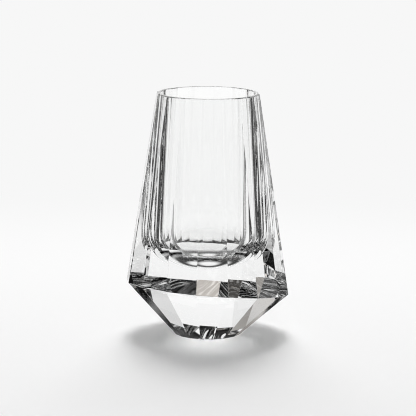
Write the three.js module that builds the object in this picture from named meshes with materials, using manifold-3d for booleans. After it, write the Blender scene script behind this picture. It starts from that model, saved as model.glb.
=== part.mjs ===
// A thick cut-crystal snifter: one solid piece of clear glass, cut with flat facets outside
// and bored round inside. Millimetres, +Z up, the foot stands on Z = 0 and the bore runs along Z.
import * as THREE from 'three';
import { mergeVertices } from 'three/addons/utils/BufferGeometryUtils.js';
import Module from 'manifold-3d';

// Overall heights
const HEIGHT = 120.0;
const WAIST_HEIGHT = 23.2;

// Facet-corner radii of the outside
const RIM_RADIUS = 25.3;
const WAIST_RADIUS = 40.3;
const FOOT_RADIUS = 16.2;

// Facets: the first corner's azimuth is measured from -Y toward +X
const FACETS = 16;
const FACET_START_DEG = -7.0;

// The waist edge lies in a plane that leans a little: it rises toward this azimuth
const WAIST_LEAN_DEG = 6.6;
const WAIST_LEAN_AZIMUTH_DEG = -39.0;

// Round bore that ends in a bowl
const RIM_WALL = 1.8;
const BORE_LOW_RADIUS = 22.35;
const BORE_FLOOR_HEIGHT = 33.0;
const BOWL_HEIGHT = 23.2;
const BORE_SEGMENTS = 96;
const BOWL_STEPS = 16;

// The bowl's section is a rounded curve: the first power keeps its wall straight, the second rounds its floor
const BOWL_WALL_POWER = 3.4;
const BOWL_FLOOR_POWER = 1.75;

// Polished edges
const RIM_BEVEL = 0.4;
const LIP_ROUND = 0.5;
const LIP_STEPS = 4;
const FOOT_BEVEL = 0.5;

// How far the bore tool stands above the rim
const TOOL_CLEARANCE = 2.0;

const rad = THREE.MathUtils.degToRad;

function at(azimuth, radius, z) {
  return new THREE.Vector3(radius * Math.sin(azimuth), -radius * Math.cos(azimuth), z);
}

function facetAzimuths() {
  return Array.from({ length: FACETS }, (_, i) => rad(FACET_START_DEG + (360 * i) / FACETS));
}

// A corner of the upper facets at a height, on the straight edge from the rim to the waist
const TAPER = (WAIST_RADIUS - RIM_RADIUS) / (HEIGHT - WAIST_HEIGHT);

function upperRadius(z) {
  return RIM_RADIUS + TAPER * (HEIGHT - z);
}

// Where that edge meets the leaning waist plane
function waistCorner(azimuth) {
  const rise = Math.tan(rad(WAIST_LEAN_DEG)) * Math.cos(azimuth - rad(WAIST_LEAN_AZIMUTH_DEG));
  const z = (WAIST_HEIGHT + rise * upperRadius(0)) / (1 + rise * TAPER);
  return at(azimuth, upperRadius(z), z);
}

// The lower facets all point at one apex under the foot, moved sideways so that the foot is centred
function lowerApex(corners) {
  const share = FOOT_RADIUS / WAIST_RADIUS;
  const depth = (share * WAIST_HEIGHT) / (1 - share);
  const sum = new THREE.Vector2();
  let weight = 0;
  for (const c of corners) {
    const t = depth / (c.z + depth);
    sum.x += t * c.x;
    sum.y += t * c.y;
    weight += 1 - t;
  }
  return new THREE.Vector3(-sum.x / weight, -sum.y / weight, -depth);
}

function lowerCorner(corner, apex, z) {
  const t = (z - apex.z) / (corner.z - apex.z);
  return apex.clone().lerp(corner, t);
}

// The cut outside: five rings of corners from the foot to the rim, closed by two flat caps
function outsideGeometry() {
  const azimuths = facetAzimuths();
  const waist = azimuths.map(waistCorner);
  const apex = lowerApex(waist);
  const footEdge = waist.map((c) => lowerCorner(c, apex, FOOT_BEVEL));
  const inset = 1 - FOOT_BEVEL / FOOT_RADIUS;
  const foot = footEdge.map((c) => new THREE.Vector3(c.x * inset, c.y * inset, 0));
  const rimEdge = azimuths.map((a) => at(a, upperRadius(HEIGHT - RIM_BEVEL), HEIGHT - RIM_BEVEL));
  const rim = azimuths.map((a) => at(a, RIM_RADIUS - RIM_BEVEL, HEIGHT));
  const rings = [foot, footEdge, waist, rimEdge, rim];
  const position = [];
  for (const ring of rings) {
    for (const p of ring) position.push(p.x, p.y, p.z);
  }
  const index = [];
  const corner = (ring, i) => ring * FACETS + (i % FACETS);
  for (let ring = 0; ring + 1 < rings.length; ring += 1) {
    for (let i = 0; i < FACETS; i += 1) {
      const a = corner(ring, i);
      const b = corner(ring, i + 1);
      const c = corner(ring + 1, i + 1);
      const d = corner(ring + 1, i);
      index.push(a, b, c, a, c, d);
    }
  }
  const top = rings.length - 1;
  for (let i = 1; i + 1 < FACETS; i += 1) {
    index.push(corner(0, 0), corner(0, i + 1), corner(0, i));
    index.push(corner(top, 0), corner(top, i), corner(top, i + 1));
  }
  const geometry = new THREE.BufferGeometry();
  geometry.setAttribute('position', new THREE.Float32BufferAttribute(position, 3));
  geometry.setIndex(index);
  return geometry;
}

// The bore: a bowl-shaped bottom, a slightly drafted wall and a rounded lip at the mouth
function boreGeometry() {
  const mouth = RIM_RADIUS * Math.cos(Math.PI / FACETS) - RIM_WALL;
  const points = [];
  for (let i = 0; i <= BOWL_STEPS; i += 1) {
    const a = (Math.PI / 2) * (i / BOWL_STEPS);
    const out = Math.sin(a) ** (2 / BOWL_FLOOR_POWER);
    const down = Math.max(Math.cos(a), 0) ** (2 / BOWL_WALL_POWER);
    points.push(new THREE.Vector2(
      i === BOWL_STEPS ? BORE_LOW_RADIUS : BORE_LOW_RADIUS * out,
      i === BOWL_STEPS ? BORE_FLOOR_HEIGHT + BOWL_HEIGHT : BORE_FLOOR_HEIGHT + BOWL_HEIGHT * (1 - down),
    ));
  }
  for (let i = 0; i <= LIP_STEPS; i += 1) {
    const a = (Math.PI / 2) * (i / LIP_STEPS);
    points.push(new THREE.Vector2(
      mouth + LIP_ROUND * (1 - Math.cos(a)),
      HEIGHT - LIP_ROUND * (1 - Math.sin(a)),
    ));
  }
  points.push(new THREE.Vector2(mouth + LIP_ROUND, HEIGHT + TOOL_CLEARANCE));
  points.push(new THREE.Vector2(0, HEIGHT + TOOL_CLEARANCE));
  const geometry = new THREE.LatheGeometry(points, BORE_SEGMENTS);
  geometry.rotateX(Math.PI / 2);
  return geometry;
}

const wasm = await Module();
wasm.setup();

function toSolid(geometry) {
  geometry.deleteAttribute('normal');
  geometry.deleteAttribute('uv');
  const merged = mergeVertices(geometry, 1e-4);
  const source = merged.index.array;
  const kept = [];
  for (let i = 0; i < source.length; i += 3) {
    const [a, b, c] = [source[i], source[i + 1], source[i + 2]];
    if (a !== b && b !== c && c !== a) kept.push(a, b, c);
  }
  return new wasm.Manifold(new wasm.Mesh({
    numProp: 3,
    vertProperties: new Float32Array(merged.attributes.position.array),
    triVerts: new Uint32Array(kept),
  }));
}

function toGeometry(solid) {
  const mesh = solid.getMesh();
  const geometry = new THREE.BufferGeometry();
  geometry.setAttribute('position', new THREE.BufferAttribute(mesh.vertProperties, 3));
  geometry.setIndex(new THREE.BufferAttribute(mesh.triVerts, 1));
  geometry.computeVertexNormals();
  return geometry;
}

const crystal = new THREE.MeshStandardMaterial({
  color: 0xf4f6f6,
  roughness: 0.02,
  metalness: 0.0,
  transparent: true,
  opacity: 0.35,
});

const glassBody = new THREE.Mesh(
  toGeometry(toSolid(outsideGeometry()).subtract(toSolid(boreGeometry()))),
  crystal,
);
glassBody.name = 'glass_body';

const snifter = new THREE.Group();
snifter.add(glassBody);

export default snifter;
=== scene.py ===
# A thick cut-crystal snifter on a white sweep: one solid piece of clear glass with flat facets
# outside and a round polished bore inside. Metres, +Z up, the foot's centre at the origin.
import math

import bpy
from mathutils import Matrix, Vector


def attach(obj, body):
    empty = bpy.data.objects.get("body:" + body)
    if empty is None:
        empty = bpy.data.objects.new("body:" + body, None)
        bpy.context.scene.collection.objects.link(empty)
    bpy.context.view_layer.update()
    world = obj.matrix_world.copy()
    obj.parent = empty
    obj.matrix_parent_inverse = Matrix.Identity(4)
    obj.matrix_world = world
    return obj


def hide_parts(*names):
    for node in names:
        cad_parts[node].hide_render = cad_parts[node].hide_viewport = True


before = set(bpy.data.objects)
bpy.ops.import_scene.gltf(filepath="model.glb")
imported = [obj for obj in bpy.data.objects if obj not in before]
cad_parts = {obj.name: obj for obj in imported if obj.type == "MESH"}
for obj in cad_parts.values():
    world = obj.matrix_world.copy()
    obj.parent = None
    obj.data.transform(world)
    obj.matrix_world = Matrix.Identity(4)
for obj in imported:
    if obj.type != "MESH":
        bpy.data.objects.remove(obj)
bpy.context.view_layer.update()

MM = 0.001

# Outside of the glass
HEIGHT = 120.0 * MM
WAIST_HEIGHT = 23.2 * MM
RIM_RADIUS = 25.3 * MM
WAIST_RADIUS = 40.3 * MM
FOOT_RADIUS = 16.2 * MM
FACETS = 16
FACET_START = math.radians(-7.0)
WAIST_LEAN = math.radians(6.6)
WAIST_LEAN_AZIMUTH = math.radians(-39.0)
RIM_BEVEL = 0.4 * MM
FOOT_BEVEL = 0.5 * MM

# Bore of the glass
RIM_WALL = 1.8 * MM
LIP_ROUND = 0.5 * MM
BORE_LOW_RADIUS = 22.35 * MM
BORE_FLOOR_HEIGHT = 33.0 * MM
BOWL_HEIGHT = 23.2 * MM
BOWL_WALL_POWER = 3.4
BOWL_FLOOR_POWER = 1.75

# Mesh steps
STEPS_PER_FACET = 12
LIP_ROWS = 10
WALL_ROWS = 36
BOWL_ROWS = 48
CORNER_SLACK = 1e-4
MERGE_DISTANCE = 1e-6

# Polish on each arris
ARRIS = 0.12 * MM
ARRIS_SEGMENTS = 2
ARRIS_ANGLE = math.radians(10)

# Glass: its index, the two tints that it drifts between, the polish haze and the slow ripple from cutting
CRYSTAL_IOR = 1.55
TINTS = ((0.985, 0.992, 0.99, 1), (0.998, 0.998, 0.996, 1))
DRIFT_SCALE = 35.0
DRIFT_DETAIL = 2.0
HAZE_SCALE = 420.0
HAZE_DETAIL = 3.0
HAZE_FROM = 0.45
HAZE_ROUGHNESS = 0.012
RIPPLE_SCALE = 55.0
RIPPLE_DETAIL = 1.0
RIPPLE_STRENGTH = 0.002
RIPPLE_DEPTH = 1.0 * MM

# Camera, as the photograph was taken
CAMERA_DISTANCE = 1.2
CAMERA_RISE = math.radians(7.5)
IMAGE_SIDE = 416
RIM_CENTRE_PX = Vector((208.1, 92.5))
FOOT_CENTRE_PX = Vector((206.1, 332.4))
FOCAL_START_PX = 2450.0
AIM_ROUNDS = 60
ROLL_SHARE = 0.8
SENSOR_WIDTH = 36.0
CLIP = (0.05, 50.0)

# Sweep under the glass, and the tones that the camera sees of it far out and of the wall behind.
# The fade is measured from a point before the glass, so that the shadow there is kept whole.
SWEEP_HALF = 4.0
SWEEP_DROP = 0.2 * MM
PAPER = 0.9
FADE_START = (0.20, 0.55)
FADE_SHIFT = 0.14
SWEEP = 0.93
BACKGROUND = 0.95
AMBIENT = 0.30

# Studio walls, as bent light finds them. Azimuth 0 is straight behind the glass. Each row: azimuth,
# how white a panel is there, how high it reaches and how much of the warm window shows above it.
WHITE = 1.0
DARK = 0.002
WARM_GREY = (0.78, 0.73, 0.68, 1)
WALLS = [
    (-180, 0.8, 14, 0), (-150, 0.8, 14, 0), (-148, 0, 14, 0), (-139, 0, 14, 0), (-137, 0.8, 14, 0),
    (-107, 0.8, 14, 0), (-105, 0, 14, 0), (-94, 0, 14, 0), (-92, 0.8, 14, 0), (-80, 0.8, 14, 0),
    (-78, 0, 14, 0), (-64, 0, 17, 0), (-58, 0.45, 17, 0.7), (-43, 0.6, 17, 0.7), (-34, 0.75, 17, 0.6),
    (-24, 0.87, 17, 0.4), (-14, 1, 17, 0.1), (-6, 1, 17, 0.1), (-2, 1, 17, 1), (20, 1, 17, 1),
    (25, 0.8, 17, 0), (40, 0.6, 17, 0), (44, 0, 17, 0), (86, 0, 14, 0), (88, 0.8, 14, 0),
    (119, 0.8, 14, 0), (121, 0, 14, 0), (130, 0, 14, 0), (132, 0.8, 14, 0), (165, 0.8, 14, 0),
    (167, 0, 14, 0), (180, 0, 14, 0),
]
PANEL_FADE = 2.0
WARM_BAND = (18.0, 34.0)
WARM_FADE = 2.0

# White box overhead and the dim room above the walls, as bent light finds them
BOX_AZIMUTH = 175.0
BOX_RISE = 64.0
BOX_HALF = (11.0, 15.0)
BOX_LEVEL = 1.0
ROOM = 0.03
ROOM_RISE = (50.0, 62.0)

# Floor further out, as bent light finds it. Each row: azimuth, how white it is and 1 where plain paper
# reaches out to the panel there. Elsewhere a dark gap lies between the paper and what is further out.
# The dark gaps and the dimmer floor toward the front are painted shade that only bent light sees; the
# camera sees white paper there.
FLOOR_PANELS_AND_PAINTED_GAPS = [
    (-180, 0.85, 1), (-124, 0.85, 1), (-120, 0.85, 0), (-76, 1, 0), (-72, 0.06, 0),
    (-52, 0.06, 0), (-46, 1, 1), (40, 1, 1), (46, 0.06, 0),
    (72, 0.06, 0), (76, 1, 0), (120, 0.85, 0), (124, 0.85, 1), (180, 0.85, 1),
]
PAINTED_GAP_START = (0.032, 0.046)
PANEL_START = (0.075, 0.095)
SIDE_START = (0.05, 0.065)

# Floor at the foot, as bent light finds it: a painted pool of light in the middle, standing for light that
# the bowl gathers, and a painted shadow ring round it
PAINTED_FOOT_LIGHT = (0.006, 0.019)
PAINTED_FOOT_SHADOW = (0.020, 0.042)
PAINTED_SHADOW_LEVEL = 0.06

# Lamps: azimuth, rise, distance, width in degrees and strength as seen from the glass. The light that
# the glass lets through to the floor comes from the same places, with a dim fill elsewhere.
LAMPS = [
    ("overhead_softbox", 0.0, 66.0, 3.0, 20.0, 13.7),
    ("back_softbox", 0.0, 42.0, 3.0, 40.0, 4.5),
]
GLOW = 0.3
GLOW_GAIN = 3.0

# How often light may turn in the glass, and how crisp the picture is
BOUNCES = 12
PIXEL_WIDTH = 1.0


class Wire:
    """A socket of a node tree. Arithmetic on it adds Math nodes."""

    def __init__(self, tree, socket):
        self.tree = tree
        self.socket = socket

    def math(self, operation, *others):
        return self.tree.node("ShaderNodeMath", {"operation": operation}, self, *others)

    def turned(self, operation, other):
        return self.tree.node("ShaderNodeMath", {"operation": operation}, other, self)

    def __add__(self, other):
        return self.math("ADD", other)

    __radd__ = __add__

    def __sub__(self, other):
        return self.math("SUBTRACT", other)

    def __rsub__(self, other):
        return self.turned("SUBTRACT", other)

    def __mul__(self, other):
        return self.math("MULTIPLY", other)

    __rmul__ = __mul__

    def __truediv__(self, other):
        return self.math("DIVIDE", other)

    def __rtruediv__(self, other):
        return self.turned("DIVIDE", other)

    def __neg__(self):
        return self.turned("SUBTRACT", 0.0)

    def __gt__(self, other):
        return self.math("GREATER_THAN", other)

    def __lt__(self, other):
        return self.math("LESS_THAN", other)

    def clamped(self):
        return self.math("MAXIMUM", 0.0).math("MINIMUM", 1.0)


class Tree:
    """A node tree and the one method that adds a node to it."""

    def __init__(self, nodes):
        self.nodes = nodes.nodes
        self.links = nodes.links

    def node(self, kind, settings=None, *values, out=0, **named):
        made = self.nodes.new(kind)
        for name, value in (settings or {}).items():
            if name == "stops":
                ramp = made.color_ramp
                while len(ramp.elements) < len(value):
                    ramp.elements.new(0.5)
                for stop, (place, colour) in zip(ramp.elements, value):
                    stop.position = place
                    stop.color = colour
            elif name == "items":
                while len(made.index_switch_items) < value:
                    made.index_switch_items.new()
            else:
                setattr(made, name, value)
        shown = [s for s in made.inputs if s.enabled and not s.is_unavailable]
        pairs = list(zip(shown, values))
        pairs += [(next(s for s in shown if s.name == n.replace("_", " ")), v) for n, v in named.items()]
        for socket, value in pairs:
            if isinstance(value, Wire):
                self.links.new(value.socket, socket)
            elif isinstance(value, list):
                for wire in value:
                    self.links.new(wire.socket, socket)
            else:
                socket.default_value = value
        outputs = [s for s in made.outputs if s.enabled and not s.is_unavailable]
        if isinstance(out, str):
            found = next((s for s in outputs if s.name == out), None)
        else:
            found = outputs[out] if outputs else None
        return Wire(self, found) if found else made

    def vector(self, x, y, z):
        return self.node("ShaderNodeCombineXYZ", None, x, y, z)

    def fan(self, wire):
        return [Wire(self, s) for s in wire.socket.node.outputs]

    def split(self, value, kind="ShaderNodeSeparateXYZ"):
        return self.fan(self.node(kind, None, value))


# Sizes that follow from the ones above
TAPER = (WAIST_RADIUS - RIM_RADIUS) / (HEIGHT - WAIST_HEIGHT)
SECTOR = 2 * math.pi / FACETS
MOUTH_RADIUS = RIM_RADIUS * math.cos(math.pi / FACETS) - RIM_WALL


def waist_corner(azimuth):
    rise = math.tan(WAIST_LEAN) * math.cos(azimuth - WAIST_LEAN_AZIMUTH)
    z = (WAIST_HEIGHT + rise * (RIM_RADIUS + TAPER * HEIGHT)) / (1 + rise * TAPER)
    radius = RIM_RADIUS + TAPER * (HEIGHT - z)
    return Vector((radius * math.sin(azimuth), -radius * math.cos(azimuth), z))


def lower_apex():
    """The point under the foot that all lower facets aim at, placed so that the foot is centred."""
    share = FOOT_RADIUS / WAIST_RADIUS
    depth = share * WAIST_HEIGHT / (1 - share)
    total, weight = Vector((0, 0)), 0.0
    for i in range(FACETS):
        corner = waist_corner(FACET_START + SECTOR * i)
        t = depth / (corner.z + depth)
        total += t * corner.xy
        weight += 1 - t
    return -total.x / weight, -total.y / weight, depth


def crystal_tree(material):
    """The rule that the whole glass follows, as geometry nodes with its sizes as named inputs."""
    group = bpy.data.node_groups.new("cut_crystal_body", "GeometryNodeTree")
    face = group.interface
    face.new_socket("Geometry", in_out="OUTPUT", socket_type="NodeSocketGeometry")
    apex_x, apex_y, apex_depth = lower_apex()
    sizes = {
        "Facets": FACETS, "Steps per Facet": STEPS_PER_FACET, "Facet Start": FACET_START,
        "Height": HEIGHT, "Rim Radius": RIM_RADIUS, "Taper": TAPER, "Rim Bevel": RIM_BEVEL,
        "Waist Height": WAIST_HEIGHT, "Lean Slope": math.tan(WAIST_LEAN),
        "Lean Azimuth": WAIST_LEAN_AZIMUTH,
        "Foot Radius": FOOT_RADIUS, "Foot Bevel": FOOT_BEVEL,
        "Apex X": apex_x, "Apex Y": apex_y, "Apex Depth": apex_depth,
        "Mouth Radius": MOUTH_RADIUS, "Lip Round": LIP_ROUND, "Bore Low Radius": BORE_LOW_RADIUS,
        "Floor Height": BORE_FLOOR_HEIGHT, "Bowl Height": BOWL_HEIGHT,
        "Bowl Wall Power": BOWL_WALL_POWER, "Bowl Floor Power": BOWL_FLOOR_POWER,
        "Lip Rows": LIP_ROWS, "Wall Rows": WALL_ROWS, "Bowl Rows": BOWL_ROWS,
    }
    sockets = {}
    for name, value in sizes.items():
        kind = "NodeSocketInt" if isinstance(value, int) else "NodeSocketFloat"
        sockets[name] = face.new_socket(name, in_out="INPUT", socket_type=kind)
    tree = Tree(group)
    given = dict(zip(sizes, tree.fan(tree.node("NodeGroupInput"))))

    def corner_rings(azimuth):
        sin, cos = azimuth.math("SINE"), azimuth.math("COSINE")
        height, rim, taper = given["Height"], given["Rim Radius"], given["Taper"]
        rise = given["Lean Slope"] * (azimuth - given["Lean Azimuth"]).math("COSINE")
        waist_z = (given["Waist Height"] + rise * (rim + taper * height)) / (1 + rise * taper)
        waist_r = rim + taper * (height - waist_z)
        waist_x, waist_y = waist_r * sin, -(waist_r * cos)
        depth, bevel = given["Apex Depth"], given["Foot Bevel"]
        t = (bevel + depth) / (waist_z + depth)
        edge_x = given["Apex X"] + t * (waist_x - given["Apex X"])
        edge_y = given["Apex Y"] + t * (waist_y - given["Apex Y"])
        inset = 1 - bevel / given["Foot Radius"]
        rim_edge = rim + taper * given["Rim Bevel"]
        rim_top = rim - given["Rim Bevel"]
        return [
            tree.vector(0.0, 0.0, 0.0),
            tree.vector(edge_x * inset, edge_y * inset, 0.0),
            tree.vector(edge_x, edge_y, bevel),
            tree.vector(waist_x, waist_y, waist_z),
            tree.vector(rim_edge * sin, -(rim_edge * cos), height - given["Rim Bevel"]),
            tree.vector(rim_top * sin, -(rim_top * cos), height),
        ]

    place = tree.node("GeometryNodeInputPosition")
    grid_x, grid_y, _ = tree.split(place)
    around, along = grid_x + 0.5, grid_y + 0.5
    sector = around * given["Facets"]
    corner = (sector + CORNER_SLACK).math("FLOOR")
    share = (sector - corner).math("MAXIMUM", 0.0)
    sector_angle = (2 * math.pi) / given["Facets"]
    first = given["Facet Start"] + corner * sector_angle
    rings_a, rings_b = corner_rings(first), corner_rings(first + sector_angle)
    columns = given["Facets"] * given["Steps per Facet"] + 1

    outside_rows = len(rings_a)
    row = (along * (outside_rows - 1)).math("ROUND")
    picked = []
    for rings in (rings_a, rings_b):
        pick = {"data_type": "VECTOR", "items": outside_rows}
        picked.append(tree.node("GeometryNodeIndexSwitch", pick, row, *rings))
    outside_place = tree.node("ShaderNodeMix", {"data_type": "VECTOR"}, share, *picked)
    grid = tree.node("GeometryNodeMeshGrid", None, 1.0, 1.0, columns, outside_rows)
    outside = tree.node("GeometryNodeSetPosition", None, grid, Position=outside_place)
    outside = tree.node("GeometryNodeSetShadeSmooth", {"domain": "FACE"}, outside, Shade_Smooth=False)

    lip, wall, bowl = given["Lip Rows"], given["Wall Rows"], given["Bowl Rows"]
    bore_rows = lip + wall + bowl + 2
    row = (along * (bore_rows - 1)).math("ROUND") - 1
    on_lip = (row / lip).clamped() * (math.pi / 2)
    on_wall = ((row - lip) / wall).clamped()
    on_bowl = ((row - lip - wall) / bowl).clamped() * (math.pi / 2)
    mouth, lip_round, low = given["Mouth Radius"], given["Lip Round"], given["Bore Low Radius"]
    floor_z, bowl_z = given["Floor Height"], given["Bowl Height"]
    inward = on_bowl.math("COSINE").math("MAXIMUM", 0.0).math("POWER", 2 / given["Bowl Floor Power"])
    down = on_bowl.math("SINE").math("MAXIMUM", 0.0).math("POWER", 2 / given["Bowl Wall Power"])
    radius = (mouth + lip_round - lip_round * on_lip.math("SINE") + (low - mouth) * on_wall
              - low * (1 - inward))
    z = (given["Height"] - lip_round * (1 - on_lip.math("COSINE"))
         + (floor_z + bowl_z - given["Height"] + lip_round) * on_wall - bowl_z * down)
    turn = given["Facet Start"] + around * (2 * math.pi)
    bore_place = tree.vector(radius * turn.math("SINE"), -(radius * turn.math("COSINE")), z)
    rim_ring = tree.node("ShaderNodeMix", {"data_type": "VECTOR"}, share, rings_a[-1], rings_b[-1])
    bore_place = tree.node("GeometryNodeSwitch", {"input_type": "VECTOR"}, row < -0.5, bore_place, rim_ring)
    grid = tree.node("GeometryNodeMeshGrid", None, 1.0, 1.0, columns, bore_rows)
    bore = tree.node("GeometryNodeSetPosition", None, grid, Position=bore_place)
    bore = tree.node("GeometryNodeSetShadeSmooth", {"domain": "FACE"}, bore, Shade_Smooth=True)

    whole = tree.node("GeometryNodeJoinGeometry", None, [bore, outside])
    whole = tree.node("GeometryNodeMergeByDistance", None, whole, Distance=MERGE_DISTANCE)
    whole = tree.node("GeometryNodeRealizeInstances", None, whole)
    whole = tree.node("GeometryNodeSetMaterial", None, whole, Material=material)
    tree.node("NodeGroupOutput", None, whole)
    return group, {sockets[name].identifier: value for name, value in sizes.items()}


def fade(tree, value, low, high):
    return tree.node("ShaderNodeMapRange", {"interpolation_type": "SMOOTHSTEP"}, value,
                     From_Min=low, From_Max=high, To_Min=0.0, To_Max=1.0)


def grey(level):
    return (level, level, level, 1)


def blend(tree, share, first, second):
    return tree.node("ShaderNodeMix", {"data_type": "RGBA"}, share, first, second)


def crystal_material():
    """Clear polished crystal: a faint tone drift, very fine haze and a slow ripple from cutting."""
    material = bpy.data.materials.new("polished_crystal")
    material.use_nodes = True
    material.node_tree.nodes.clear()
    tree = Tree(material.node_tree)
    spot = tree.node("ShaderNodeTexCoord", None, out="Object")
    drift = tree.node("ShaderNodeTexNoise", None, spot, Scale=DRIFT_SCALE, Detail=DRIFT_DETAIL)
    colour = blend(tree, drift, *TINTS)
    haze = tree.node("ShaderNodeTexNoise", None, spot, Scale=HAZE_SCALE, Detail=HAZE_DETAIL)
    rough = HAZE_ROUGHNESS * (haze - HAZE_FROM).clamped()
    ripple = tree.node("ShaderNodeTexNoise", None, spot, Scale=RIPPLE_SCALE, Detail=RIPPLE_DETAIL)
    bump = tree.node("ShaderNodeBump", None, Strength=RIPPLE_STRENGTH, Distance=RIPPLE_DEPTH, Height=ripple)
    glass = tree.node("ShaderNodeBsdfPrincipled", None, Base_Color=colour, Roughness=rough,
                      IOR=CRYSTAL_IOR, Transmission_Weight=1.0, Normal=bump)
    tree.node("ShaderNodeOutputMaterial", None, glass)
    return material


def make_crystal():
    """The glass as one plain mesh: geometry nodes for the cut form, then a hair of polish on each arris."""
    material = crystal_material()
    group, values = crystal_tree(material)
    blank = bpy.data.meshes.new("blank")
    holder = bpy.data.objects.new("holder", blank)
    bpy.context.scene.collection.objects.link(holder)
    cut = holder.modifiers.new("cut", "NODES")
    cut.node_group = group
    for identifier, value in values.items():
        cut[identifier] = value
    arris = holder.modifiers.new("arris", "BEVEL")
    arris.width = ARRIS
    arris.segments = ARRIS_SEGMENTS
    arris.limit_method = "ANGLE"
    arris.angle_limit = ARRIS_ANGLE
    finished = holder.evaluated_get(bpy.context.evaluated_depsgraph_get())
    mesh = bpy.data.meshes.new_from_object(finished)
    mesh.name = "crystal_glass"
    bpy.data.objects.remove(holder)
    glass = bpy.data.objects.new("crystal_glass", mesh)
    bpy.context.scene.collection.objects.link(glass)
    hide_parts("glass_body")
    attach(glass, "root")


def all_round(tree, x, y, rows):
    """Three values that follow the azimuth, from rows of an azimuth and those values."""
    stops = [((azimuth + 180) / 360, (*values, 1)) for azimuth, *values in rows]
    turn = x.math("ARCTAN2", y) / (2 * math.pi) + 0.5
    return tree.split(tree.node("ShaderNodeValToRGB", {"stops": stops}, turn), "ShaderNodeSeparateColor")


def direction(azimuth, rise):
    turn, lift = math.radians(azimuth), math.radians(rise)
    return Vector((math.sin(turn) * math.cos(lift), math.cos(turn) * math.cos(lift), math.sin(lift)))


def nearness(tree, place, azimuth, rise):
    """The cosine of the angle between where light looks and a given direction."""
    toward = direction(azimuth, rise)
    return tree.node("ShaderNodeVectorMath", {"operation": "DOT_PRODUCT"}, place, toward, out="Value")


def ray_kinds(tree):
    """1 for what the camera sees directly, and 1 for light that the glass has bent or mirrored."""
    seen = tree.node("ShaderNodeLightPath", None, out="Is Camera Ray")
    mirrored = tree.node("ShaderNodeLightPath", None, out="Is Glossy Ray")
    through = tree.node("ShaderNodeLightPath", None, out="Is Transmission Ray")
    return seen, (mirrored + through).clamped()


def make_floor():
    """A white sweep that keeps the glass's shadow near it and fades to plain white further out. Bent light
    sees painted tones on it: a painted pool of light and a painted shadow ring at the foot, and painted
    dark gaps further out.
    """
    mesh = bpy.data.meshes.new("white_sweep")
    half = SWEEP_HALF
    corners = [(-half, -half, 0), (half, -half, 0), (half, half, 0), (-half, half, 0)]
    mesh.from_pydata(corners, [], [(0, 1, 2, 3)])
    floor = bpy.data.objects.new("white_sweep", mesh)
    floor.location.z = -SWEEP_DROP
    bpy.context.scene.collection.objects.link(floor)
    material = bpy.data.materials.new("white_paper")
    material.use_nodes = True
    material.node_tree.nodes.clear()
    tree = Tree(material.node_tree)
    x, y, _ = tree.split(tree.node("ShaderNodeTexCoord", None, out="Object"))
    far = (x * x + y * y).math("SQRT")
    seen, bent = ray_kinds(tree)
    # Painted shade for bent light: the dark gaps at the sides and the dimmer front of the floor
    rows = [(azimuth, white, near, 0) for azimuth, white, near in FLOOR_PANELS_AND_PAINTED_GAPS]
    white, near, _ = all_round(tree, x, y, rows)
    white = white * (near + (1 - near) * fade(tree, far, *SIDE_START))
    # Painted shadow ring round the foot and a painted pool of light in its middle, seen only by bent light
    painted_shadow_mask = 1 - fade(tree, far, *PAINTED_FOOT_SHADOW)
    painted_light_mask = 1 - fade(tree, far, *PAINTED_FOOT_LIGHT)
    shade = blend(tree, white * (1 - painted_shadow_mask) + painted_light_mask + painted_shadow_mask * PAINTED_SHADOW_LEVEL, grey(DARK), grey(WHITE))
    tone = blend(tree, seen, shade, grey(SWEEP))
    paper = tree.node("ShaderNodeBsdfDiffuse", None, Color=grey(PAPER))
    glow = tree.node("ShaderNodeEmission", None, Color=tone, Strength=1.0)
    reach = near * fade(tree, far, *PANEL_START) + (1 - near) * fade(tree, far, *PAINTED_GAP_START)
    shifted = y + FADE_SHIFT
    away = (x * x + shifted * shifted).math("SQRT")
    plain = seen * fade(tree, away, *FADE_START) + bent * (reach + painted_shadow_mask)
    mixed = tree.node("ShaderNodeMixShader", None, plain, paper, glow)
    tree.node("ShaderNodeOutputMaterial", None, mixed)
    mesh.materials.append(material)


def make_world():
    """White all round as the camera sees it, and the studio's panels and dark reaches for bent light."""
    world = bpy.data.worlds.new("white_studio")
    bpy.context.scene.world = world
    world.use_nodes = True
    world.node_tree.nodes.clear()
    tree = Tree(world.node_tree)
    seen, bent = ray_kinds(tree)
    place = tree.node("ShaderNodeTexCoord", None, out="Generated")
    x, y, z = tree.split(place)
    rise = z.math("ARCSINE") / (math.pi / 2)
    rows = [(azimuth, white, top / 90, warm) for azimuth, white, top, warm in WALLS]
    white, top, warm = all_round(tree, x, y, rows)
    panel = white * (1 - fade(tree, rise, top, top + PANEL_FADE / 90))
    low, high = WARM_BAND
    band = (fade(tree, rise, (low - WARM_FADE) / 90, low / 90)
            * (1 - fade(tree, rise, high / 90, (high + WARM_FADE) / 90)))
    studio = blend(tree, panel, grey(DARK), grey(WHITE))
    studio = blend(tree, warm * band, studio, WARM_GREY)
    studio = blend(tree, fade(tree, rise, ROOM_RISE[0] / 90, ROOM_RISE[1] / 90), studio, grey(ROOM))
    near = nearness(tree, place, BOX_AZIMUTH, BOX_RISE)
    inner, outer = (math.cos(math.radians(v)) for v in BOX_HALF)
    studio = blend(tree, fade(tree, near, outer, inner), studio, grey(BOX_LEVEL))
    plain = blend(tree, seen, grey(AMBIENT), grey(BACKGROUND))
    lit = tree.node("ShaderNodeLightPath", None, out="Diffuse Depth") > 0.5
    fill = grey(GLOW)
    for _, azimuth, lamp_rise, _, width, strength in LAMPS:
        near = nearness(tree, place, azimuth, lamp_rise)
        fill = blend(tree, near > math.cos(math.radians(width / 2)), fill, grey(GLOW_GAIN * strength))
    studio = blend(tree, lit, studio, fill)
    glow = tree.node("ShaderNodeBackground", None, blend(tree, bent, plain, studio), 1.0)
    tree.node("ShaderNodeOutputWorld", None, glow)


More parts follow.
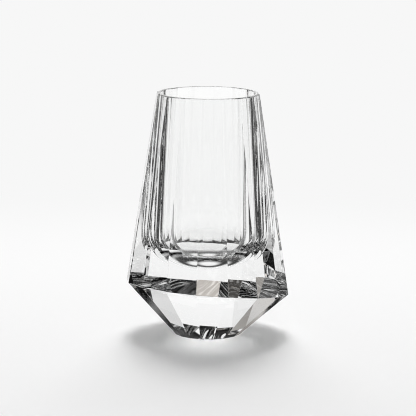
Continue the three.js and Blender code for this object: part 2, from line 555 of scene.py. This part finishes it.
def make_camera():
    """Solves aim, roll and lens so that rim and foot fall where the photograph has them."""
    data = bpy.data.cameras.new("photo_camera")
    camera = bpy.data.objects.new("photo_camera", data)
    bpy.context.scene.collection.objects.link(camera)
    bpy.context.scene.camera = camera
    camera_height = HEIGHT + CAMERA_DISTANCE * math.tan(CAMERA_RISE)
    eye = Vector((0, -CAMERA_DISTANCE, camera_height))
    top, foot = Vector((0, 0, HEIGHT)), Vector((0, 0, 0))
    half = IMAGE_SIDE / 2
    pitch = math.atan2(camera_height - HEIGHT / 2, CAMERA_DISTANCE)
    yaw, roll, focal = 0.0, 0.0, FOCAL_START_PX

    def axes():
        ahead = direction(math.degrees(yaw), -math.degrees(pitch))
        level = ahead.cross(Vector((0, 0, 1))).normalized()
        right = level * math.cos(roll) + level.cross(ahead) * math.sin(roll)
        return right, right.cross(ahead), ahead

    def pixel(point):
        right, up, ahead = axes()
        ray = point - eye
        depth = ray.dot(ahead)
        return Vector((half + focal * ray.dot(right) / depth, half - focal * ray.dot(up) / depth))

    for _ in range(AIM_ROUNDS):
        a, b = pixel(top), pixel(foot)
        focal *= (FOOT_CENTRE_PX.y - RIM_CENTRE_PX.y) / (b.y - a.y)
        miss = (a + b - RIM_CENTRE_PX - FOOT_CENTRE_PX) / 2
        pitch += miss.y / focal
        yaw += miss.x / focal
        roll += ROLL_SHARE * ((b.x - a.x) - (FOOT_CENTRE_PX.x - RIM_CENTRE_PX.x)) / (b.y - a.y)
    right, up, ahead = axes()
    camera.matrix_world = Matrix.Translation(eye) @ Matrix((right, up, -ahead)).transposed().to_4x4()
    data.sensor_width = SENSOR_WIDTH
    data.lens = focal / IMAGE_SIDE * data.sensor_width
    data.clip_start, data.clip_end = CLIP


def make_lights():
    """A soft box overhead and one behind, which lets the shadow fall forward."""
    for name, azimuth, rise, distance, width, strength in LAMPS:
        data = bpy.data.lights.new(name, "AREA")
        data.shape = "DISK"
        data.size = 2 * distance * math.tan(math.radians(width / 2))
        data.energy = strength * math.pi * math.pi * (data.size / 2) ** 2
        lamp = bpy.data.objects.new(name, data)
        bpy.context.scene.collection.objects.link(lamp)
        toward = direction(azimuth, rise)
        lamp.location = toward * distance
        lamp.rotation_euler = (-toward).to_track_quat("-Z", "Y").to_euler()
        lamp.visible_glossy = False
        lamp.visible_transmission = False


scene = bpy.context.scene
scene.view_settings.view_transform = "Standard"
scene.cycles.max_bounces = BOUNCES
scene.cycles.transmission_bounces = BOUNCES
scene.cycles.glossy_bounces = BOUNCES
scene.cycles.filter_width = PIXEL_WIDTH

make_crystal()
make_floor()
make_world()
make_lights()
make_camera()
